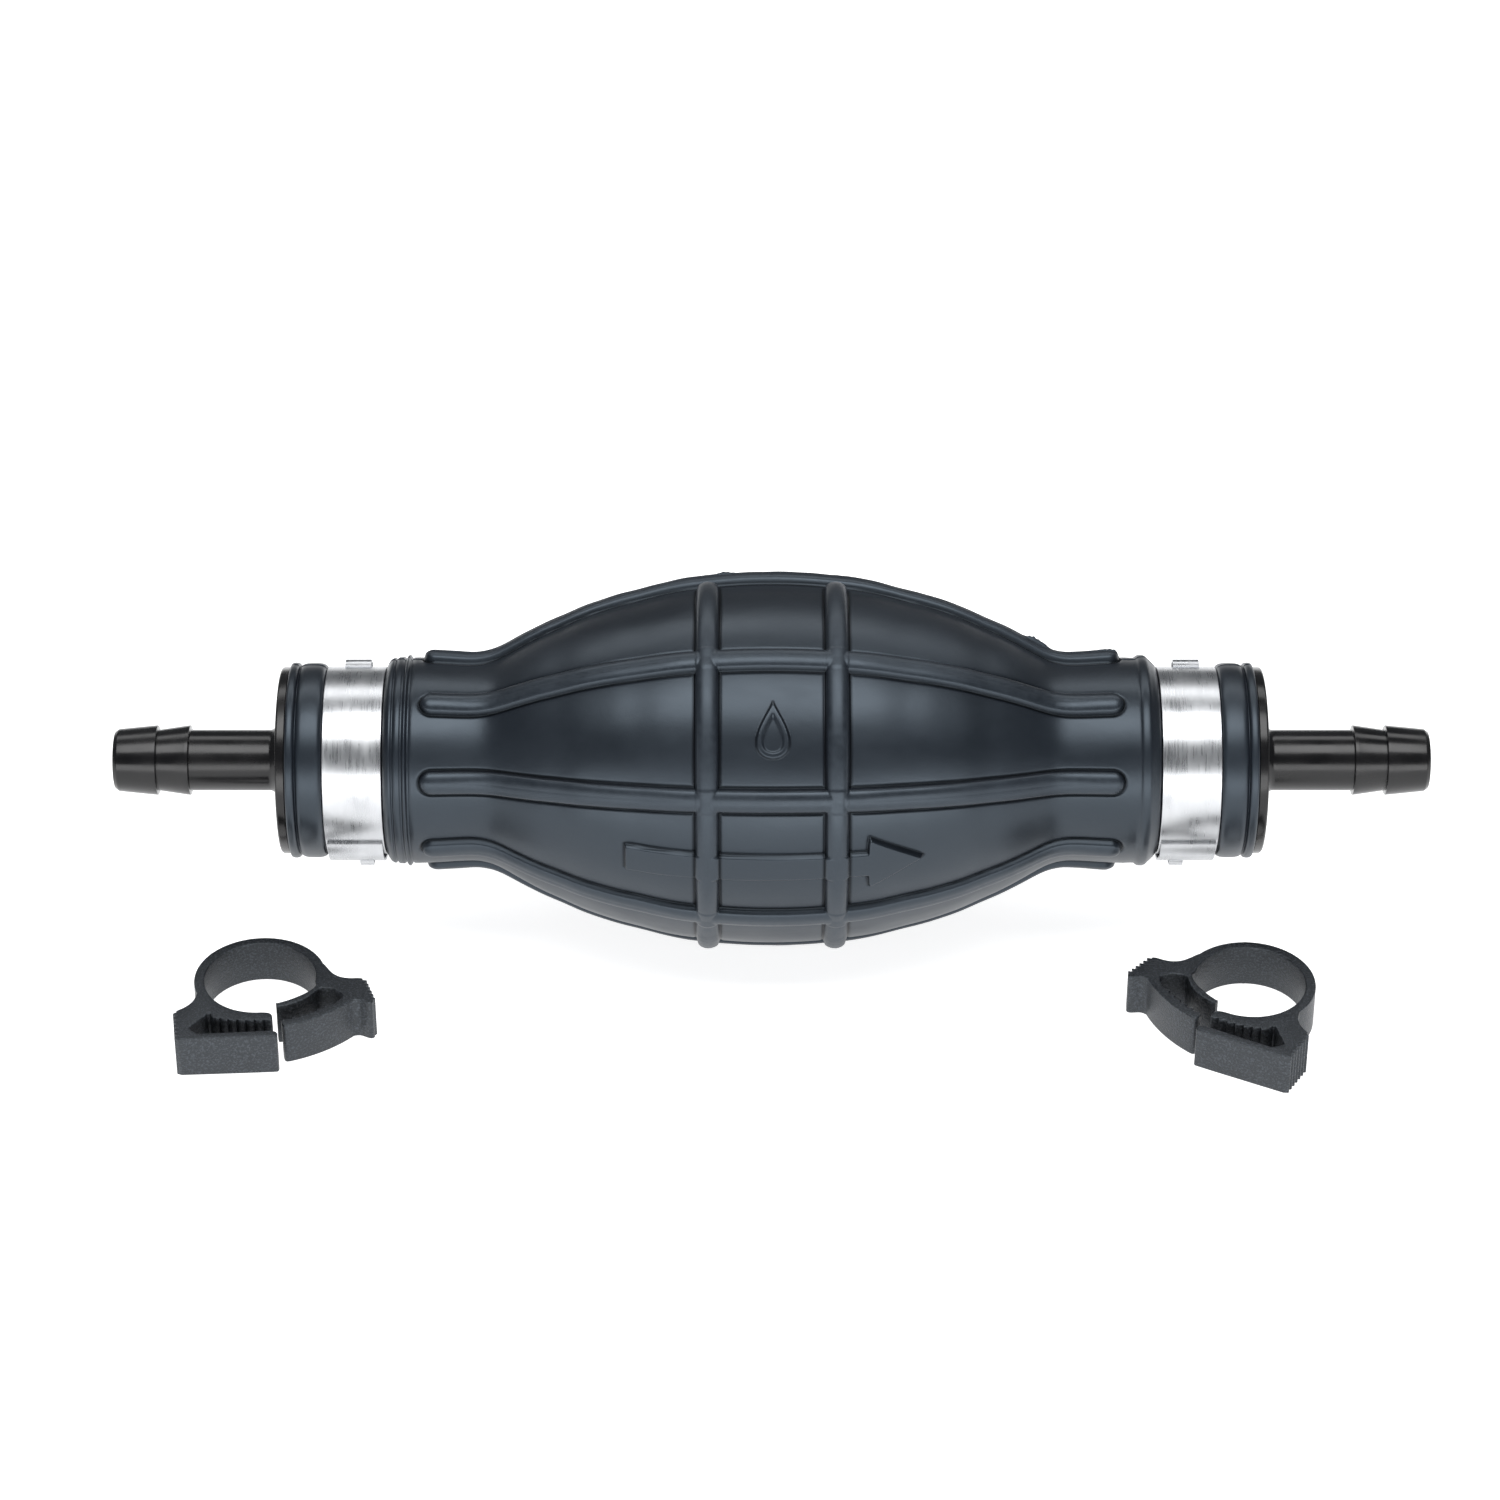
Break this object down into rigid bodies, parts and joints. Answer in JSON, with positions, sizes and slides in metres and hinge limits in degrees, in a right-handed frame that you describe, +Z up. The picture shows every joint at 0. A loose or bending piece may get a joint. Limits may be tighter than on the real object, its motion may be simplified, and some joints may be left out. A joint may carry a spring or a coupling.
{
  "type": "siphon bulb pump",
  "caption": "Ribbed black rubber hand primer bulb with barbed hose ends, steel band clamps, a check valve in each end and loose nylon hose clips.",
  "frame": {"origin": "on the surface that the set lies on, under the middle of the whole set's box; the pump's axis runs along X at y = 8.485 mm and z = 28.64 mm", "axes": "+X along the pump's axis in the direction of flow, from the inlet to the outlet; +Z up; -Y is the front, where the loose clips lie"},
  "size_m": [0.2014, 0.0746, 0.0574],
  "materials": {
    "bulb_rubber": "satin moulded rubber with a fine grain and broad soft highlights",
    "fitting_plastic": "black moulded plastic, semi-gloss",
    "band_steel": "bright rolled stainless strip",
    "valve_plastic": "natural acetal, satin",
    "seal_rubber": "smooth seal rubber",
    "spring_steel": "drawn stainless wire",
    "clip_nylon": "matt grained black nylon"
  },
  "bodies": {
    "pump": {"bulb_body": "bulb_rubber", "inlet_fitting": "fitting_plastic", "outlet_fitting": "fitting_plastic", "inlet_band": "band_steel", "outlet_band": "band_steel", "inlet_valve_seat": "valve_plastic", "outlet_valve_seat": "valve_plastic", "inlet_seat_oring": "seal_rubber", "outlet_seat_oring": "seal_rubber", "inlet_valve_cage": "valve_plastic", "outlet_valve_cage": "valve_plastic", "inlet_valve_spring": "spring_steel", "outlet_valve_spring": "spring_steel"},
    "bulb_top": {"bulb_top_wall": "bulb_rubber"},
    "inlet_valve": {"inlet_poppet": "valve_plastic", "inlet_valve_washer": "seal_rubber"},
    "outlet_valve": {"outlet_poppet": "valve_plastic", "outlet_valve_washer": "seal_rubber"},
    "left_clip": {"left_clip_block": "clip_nylon"},
    "left_clip_jaw": {"left_clip_arm": "clip_nylon"},
    "right_clip": {"right_clip_block": "clip_nylon"},
    "right_clip_jaw": {"right_clip_arm": "clip_nylon"}
  },
  "joints": [
    {"name": "bulb_squeeze", "type": "slide", "parent": "pump", "child": "bulb_top", "axis": [0, 0, -1], "range_m": [0, 0.0065], "stiffness_N_per_m": 2500, "deforming": ["bulb_top_wall"]},
    {"name": "inlet_valve_slide", "type": "slide", "parent": "pump", "child": "inlet_valve", "axis": [1, 0, 0], "range_m": [0, 0.002], "stiffness_N_per_m": 80, "springref_m": -0.003, "deforming": ["inlet_valve_spring"]},
    {"name": "outlet_valve_slide", "type": "slide", "parent": "pump", "child": "outlet_valve", "axis": [1, 0, 0], "range_m": [0, 0.002], "stiffness_N_per_m": 80, "springref_m": -0.003, "deforming": ["outlet_valve_spring"]},
    {"name": "left_clip_lift", "type": "slide", "parent": "pump", "child": "left_clip", "axis": [0, 0, 1], "range_m": [0, 0.03]},
    {"name": "left_clip_close", "type": "hinge", "parent": "left_clip", "child": "left_clip_jaw", "pos_m": [-0.07998, -0.00913, 0.0035], "axis": [0, 0, -1], "range_deg": [-12, 18], "stiffness_Nm_per_rad": 0.05},
    {"name": "right_clip_lift", "type": "slide", "parent": "pump", "child": "right_clip", "axis": [0, 0, 1], "range_m": [0, 0.03]},
    {"name": "right_clip_close", "type": "hinge", "parent": "right_clip", "child": "right_clip_jaw", "pos_m": [0.07818, -0.01192, 0.0035], "axis": [0, 0, 1], "range_deg": [-12, 18], "stiffness_Nm_per_rad": 0.05}
  ]
}
